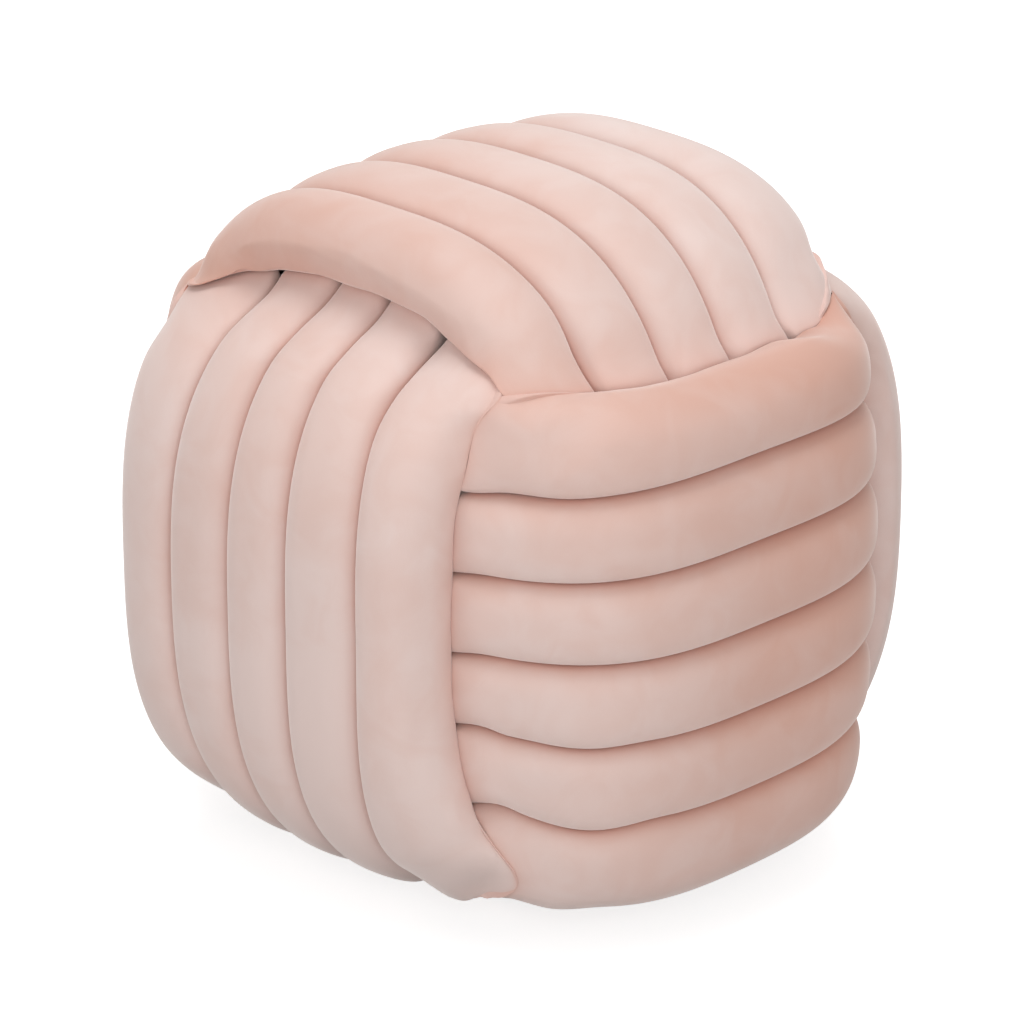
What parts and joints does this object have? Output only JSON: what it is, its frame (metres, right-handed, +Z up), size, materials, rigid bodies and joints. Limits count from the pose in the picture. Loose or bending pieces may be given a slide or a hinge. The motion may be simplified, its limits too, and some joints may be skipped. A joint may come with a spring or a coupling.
{
  "type": "velvet pouf",
  "caption": "Soft floor pouf in the form of a large ball knot: stuffed velvet tubes lie side by side in bands that cross over and under each other. A low seat or footrest.",
  "frame": {"origin": "On the floor, under the middle of the pouf's bounding box.", "axes": "+Z up. -Y out of the face whose tubes run up and down, +X out of the face whose tubes run level, tubes of the top run along X."},
  "size_m": [0.4454, 0.434, 0.434],
  "materials": {
    "velvet": "soft matte pile"
  },
  "bodies": {
    "root": {"top_tube_1": "velvet", "top_tube_2": "velvet", "top_tube_3": "velvet", "top_tube_4": "velvet", "top_tube_5": "velvet", "bottom_tube_1": "velvet", "bottom_tube_2": "velvet", "bottom_tube_3": "velvet", "bottom_tube_4": "velvet", "bottom_tube_5": "velvet", "front_tube_1": "velvet", "front_tube_2": "velvet", "front_tube_3": "velvet", "front_tube_4": "velvet", "front_tube_5": "velvet", "back_tube_1": "velvet", "back_tube_2": "velvet", "back_tube_3": "velvet", "back_tube_4": "velvet", "back_tube_5": "velvet", "right_tube_1": "velvet", "right_tube_2": "velvet", "right_tube_3": "velvet", "right_tube_4": "velvet", "right_tube_5": "velvet", "right_tube_6": "velvet", "left_tube_1": "velvet", "left_tube_2": "velvet", "left_tube_3": "velvet", "left_tube_4": "velvet", "left_tube_5": "velvet", "left_tube_6": "velvet"}
  },
  "joints": []
}
